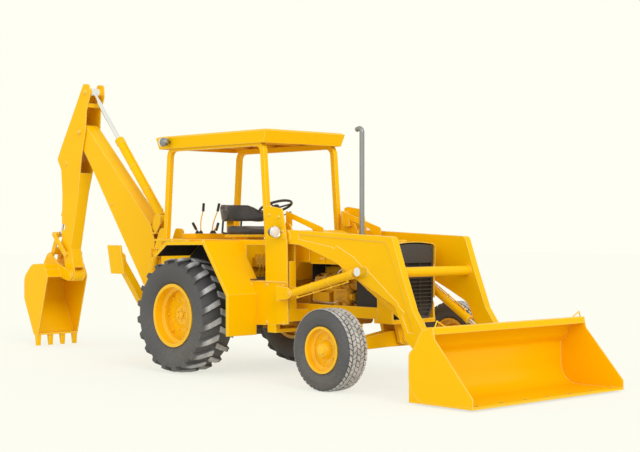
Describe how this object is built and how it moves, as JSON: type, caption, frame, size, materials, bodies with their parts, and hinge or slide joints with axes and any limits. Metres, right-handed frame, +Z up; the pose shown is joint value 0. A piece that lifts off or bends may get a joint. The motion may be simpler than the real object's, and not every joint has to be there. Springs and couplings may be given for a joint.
{
  "type": "backhoe loader",
  "caption": "Centre-pivot backhoe loader: front loader arms and bucket, open canopy, rear boom, dipper and digging bucket, folded stabilizers, steering and turning wheels.",
  "frame": {"origin": "middle of the bounding box's footprint, on the ground", "axes": "+X forward toward the loader bucket, +Y to the driver's left, +Z up"},
  "size_m": [8.251, 2.134, 3.304],
  "materials": {
    "yellow_paint": "gloss",
    "black_paint": "satin",
    "rim_paint": "satin",
    "tyre": "matt",
    "chrome": "polished",
    "cast_iron": "matt",
    "engine_paint": "satin",
    "stack_steel": "dull",
    "grille_paint": "satin",
    "seat_cover": "matt",
    "black_plastic": "matt",
    "lamp_case": "satin"
  },
  "bodies": {
    "chassis": {"main_frame": "yellow_paint", "side_boxes": "yellow_paint", "drivetrain": "cast_iron", "engine": "engine_paint", "radiator": "black_paint", "front_support": "yellow_paint", "front_axle": "black_paint", "hood": "yellow_paint", "grille": "grille_paint", "exhaust_stack": "stack_steel", "cowl": "yellow_paint", "platform": "yellow_paint", "fender_left": "yellow_paint", "fender_right": "yellow_paint", "canopy_roof": "yellow_paint", "canopy_posts": "yellow_paint", "seat_base": "black_paint", "seat_cushion": "seat_cover", "seat_back": "seat_cover", "backhoe_controls": "black_plastic", "work_lamps": "lamp_case", "rear_frame": "yellow_paint"},
    "rear_wheel_left": {"rear_tyre_left": "tyre", "rear_rim_left": "rim_paint"},
    "rear_wheel_right": {"rear_tyre_right": "tyre", "rear_rim_right": "rim_paint"},
    "knuckle_left": {"front_knuckle_left": "black_paint"},
    "knuckle_right": {"front_knuckle_right": "black_paint"},
    "front_wheel_left": {"front_tyre_left": "tyre", "front_rim_left": "rim_paint"},
    "front_wheel_right": {"front_tyre_right": "tyre", "front_rim_right": "rim_paint"},
    "tie_rod": {"tie_rod": "cast_iron"},
    "steering_wheel": {"steering_wheel": "black_plastic"},
    "loader_arms": {"loader_arms": "yellow_paint"},
    "loader_bucket": {"loader_bucket": "yellow_paint"},
    "lift_barrels": {"lift_barrels": "yellow_paint"},
    "lift_rods": {"lift_rods": "chrome"},
    "dump_barrels": {"dump_barrels": "yellow_paint"},
    "dump_rods": {"dump_rods": "chrome"},
    "swing_post": {"swing_post": "yellow_paint"},
    "boom": {"boom": "yellow_paint"},
    "dipper": {"dipper": "yellow_paint"},
    "hoe_bucket": {"hoe_bucket": "yellow_paint"},
    "dipper_link": {"dipper_link": "yellow_paint"},
    "bucket_link": {"bucket_link": "yellow_paint"},
    "boom_barrel": {"boom_barrel": "yellow_paint"},
    "boom_rod": {"boom_rod": "chrome"},
    "crowd_barrel": {"crowd_barrel": "yellow_paint"},
    "crowd_rod": {"crowd_rod": "chrome"},
    "hoe_barrel": {"hoe_barrel": "yellow_paint"},
    "hoe_rod": {"hoe_rod": "chrome"},
    "stabilizer_left": {"stabilizer_left": "yellow_paint"},
    "stabilizer_barrel_left": {"stabilizer_barrel_left": "yellow_paint"},
    "stabilizer_rod_left": {"stabilizer_rod_left": "chrome"},
    "stabilizer_right": {"stabilizer_right": "yellow_paint"},
    "stabilizer_barrel_right": {"stabilizer_barrel_right": "yellow_paint"},
    "stabilizer_rod_right": {"stabilizer_rod_right": "chrome"}
  },
  "joints": [
    {"name": "rear_wheel_left_spin", "type": "hinge", "parent": "chassis", "child": "rear_wheel_left", "pos_m": [-0.0105, 0.835, 0.6], "axis": [0, 1, 0], "continuous": true},
    {"name": "rear_wheel_right_spin", "type": "hinge", "parent": "chassis", "child": "rear_wheel_right", "pos_m": [-0.0105, -0.835, 0.6], "axis": [0, 1, 0], "continuous": true},
    {"name": "steering_left", "type": "hinge", "parent": "chassis", "child": "knuckle_left", "pos_m": [2.2445, 0.645, 0.385], "axis": [0, 0, 1], "range_deg": [-30, 30]},
    {"name": "steering_right", "type": "hinge", "parent": "chassis", "child": "knuckle_right", "pos_m": [2.2445, -0.645, 0.385], "axis": [0, 0, 1], "range_deg": [-30, 30]},
    {"name": "front_wheel_left_spin", "type": "hinge", "parent": "knuckle_left", "child": "front_wheel_left", "pos_m": [2.2445, 0.89, 0.385], "axis": [0, 1, 0], "continuous": true},
    {"name": "front_wheel_right_spin", "type": "hinge", "parent": "knuckle_right", "child": "front_wheel_right", "pos_m": [2.2445, -0.89, 0.385], "axis": [0, 1, 0], "continuous": true},
    {"name": "tie_rod_slide", "type": "slide", "parent": "chassis", "child": "tie_rod", "axis": [0, -1, 0], "range_m": [-0.075, 0.075]},
    {"name": "steering_wheel_turn", "type": "hinge", "parent": "chassis", "child": "steering_wheel", "pos_m": [0.4675, 0, 1.735], "axis": [-0.3746, 0, 0.9272], "range_deg": [-360, 360]},
    {"name": "loader_arms_lift", "type": "hinge", "parent": "chassis", "child": "loader_arms", "pos_m": [1.2595, 0, 1.43], "axis": [0, -1, 0], "range_deg": [0, 78]},
    {"name": "loader_bucket_tilt", "type": "hinge", "parent": "loader_arms", "child": "loader_bucket", "pos_m": [3.2895, 0, 0.24], "axis": [0, 1, 0], "range_deg": [-35, 105]},
    {"name": "lift_barrels_swing", "type": "hinge", "parent": "chassis", "child": "lift_barrels", "pos_m": [1.3995, 0, 0.868], "axis": [0, -1, 0], "range_deg": [-0.01, 61.58]},
    {"name": "lift_rods_slide", "type": "slide", "parent": "lift_barrels", "child": "lift_rods", "axis": [0.9715, 0, 0.2372], "range_m": [-0.0002, 0.6347]},
    {"name": "dump_barrels_swing", "type": "hinge", "parent": "loader_arms", "child": "dump_barrels", "pos_m": [2.0195, 0, 1.12], "axis": [0, -1, 0], "range_deg": [-1.97, 5.89]},
    {"name": "dump_rods_slide", "type": "slide", "parent": "dump_barrels", "child": "dump_rods", "axis": [0.8522, 0, -0.5233], "range_m": [-0.08597, 0.25752]},
    {"name": "backhoe_swing", "type": "hinge", "parent": "chassis", "child": "swing_post", "pos_m": [-1.4805, 0, 0.82], "axis": [0, 0, 1], "range_deg": [-90, 90]},
    {"name": "boom_lift", "type": "hinge", "parent": "swing_post", "child": "boom", "pos_m": [-1.6105, 0, 0.82], "axis": [0, 1, 0], "range_deg": [-85, 22]},
    {"name": "dipper_crowd", "type": "hinge", "parent": "boom", "child": "dipper", "pos_m": [-3.1205, 0, 2.71], "axis": [0, -1, 0], "range_deg": [-82, 12]},
    {"name": "hoe_bucket_curl", "type": "hinge", "parent": "dipper", "child": "hoe_bucket", "pos_m": [-3.3705, 0, 0.91], "axis": [0, -1, 0], "range_deg": [-25, 55]},
    {"name": "boom_barrel_swing", "type": "hinge", "parent": "swing_post", "child": "boom_barrel", "pos_m": [-1.3705, 0, 1.05], "axis": [0, -1, 0], "range_deg": [-19.12, 73.86]},
    {"name": "boom_rod_slide", "type": "slide", "parent": "boom_barrel", "child": "boom_rod", "axis": [-0.8189, 0, 0.574], "range_m": [-0.09174, 0.35388]},
    {"name": "crowd_barrel_swing", "type": "hinge", "parent": "boom", "child": "crowd_barrel", "pos_m": [-1.5405, 0, 1.62], "axis": [0, -1, 0], "range_deg": [-0.13, 0.83]},
    {"name": "crowd_rod_slide", "type": "slide", "parent": "crowd_barrel", "child": "crowd_rod", "axis": [-0.6736, 0, 0.7391], "range_m": [-0.66878, 0.09804]},
    {"name": "dipper_link_swing", "type": "hinge", "parent": "dipper", "child": "dipper_link", "pos_m": [-3.4505, 0, 1.18], "axis": [0, -1, 0], "range_deg": [-31.45, 69.18]},
    {"name": "bucket_link_swing", "type": "hinge", "parent": "dipper_link", "child": "bucket_link", "pos_m": [-3.7105, 0, 1.43], "axis": [0, -1, 0], "range_deg": [-50.45, 22.93]},
    {"name": "hoe_barrel_swing", "type": "hinge", "parent": "dipper", "child": "hoe_barrel", "pos_m": [-3.4405, 0, 2.33], "axis": [0, -1, 0], "range_deg": [-2.58, 1.18]},
    {"name": "hoe_rod_slide", "type": "slide", "parent": "hoe_barrel", "child": "hoe_rod", "axis": [-0.2873, 0, -0.9578], "range_m": [-0.1657, 0.3643]},
    {"name": "stabilizer_left_lower", "type": "hinge", "parent": "chassis", "child": "stabilizer_left", "pos_m": [-1.2055, 0.36, 0.42], "axis": [-1, 0, 0], "range_deg": [0, 81]},
    {"name": "stabilizer_barrel_left_swing", "type": "hinge", "parent": "chassis", "child": "stabilizer_barrel_left", "pos_m": [-1.2055, 0.33, 1.22], "axis": [1, 0, 0], "range_deg": [-0.01, 3.84]},
    {"name": "stabilizer_rod_left_slide", "type": "slide", "parent": "stabilizer_barrel_left", "child": "stabilizer_rod_left", "axis": [0, 0.234, -0.9722], "range_m": [-0.0002, 0.32424]},
    {"name": "stabilizer_right_lower", "type": "hinge", "parent": "chassis", "child": "stabilizer_right", "pos_m": [-1.2055, -0.36, 0.42], "axis": [1, 0, 0], "range_deg": [0, 81]},
    {"name": "stabilizer_barrel_right_swing", "type": "hinge", "parent": "chassis", "child": "stabilizer_barrel_right", "pos_m": [-1.2055, -0.33, 1.22], "axis": [-1, 0, 0], "range_deg": [-0.01, 3.84]},
    {"name": "stabilizer_rod_right_slide", "type": "slide", "parent": "stabilizer_barrel_right", "child": "stabilizer_rod_right", "axis": [0, -0.234, -0.9722], "range_m": [-0.0002, 0.32424]}
  ],
  "couplings": [
    {"joint": "steering_right", "follows": "steering_left", "ratio": 1},
    {"joint": "tie_rod_slide", "follows": "steering_left", "m_per_rad": 0.14324},
    {"joint": "steering_wheel_turn", "follows": "steering_left", "ratio": 12},
    {"joint": "lift_barrels_swing", "follows": "loader_arms_lift", "ratio": 0.78932},
    {"joint": "lift_rods_slide", "follows": "loader_arms_lift", "m_per_rad": 0.46608},
    {"joint": "dump_barrels_swing", "follows": "loader_bucket_tilt", "ratio": 0.05601},
    {"joint": "dump_rods_slide", "follows": "loader_bucket_tilt", "m_per_rad": 0.14041},
    {"joint": "boom_barrel_swing", "follows": "boom_lift", "ratio": -0.86877},
    {"joint": "boom_rod_slide", "follows": "boom_lift", "m_per_rad": -0.2384},
    {"joint": "crowd_barrel_swing", "follows": "dipper_crowd", "ratio": -0.010006},
    {"joint": "crowd_rod_slide", "follows": "dipper_crowd", "m_per_rad": 0.46716},
    {"joint": "dipper_link_swing", "follows": "hoe_bucket_curl", "ratio": 1.2577},
    {"joint": "bucket_link_swing", "follows": "hoe_bucket_curl", "ratio": -0.917},
    {"joint": "hoe_barrel_swing", "follows": "hoe_bucket_curl", "ratio": -0.0467},
    {"joint": "hoe_rod_slide", "follows": "hoe_bucket_curl", "m_per_rad": 0.3793},
    {"joint": "stabilizer_barrel_left_swing", "follows": "stabilizer_left_lower", "ratio": 0.047262},
    {"joint": "stabilizer_rod_left_slide", "follows": "stabilizer_left_lower", "m_per_rad": 0.22921},
    {"joint": "stabilizer_barrel_right_swing", "follows": "stabilizer_right_lower", "ratio": 0.047262},
    {"joint": "stabilizer_rod_right_slide", "follows": "stabilizer_right_lower", "m_per_rad": 0.22921}
  ]
}
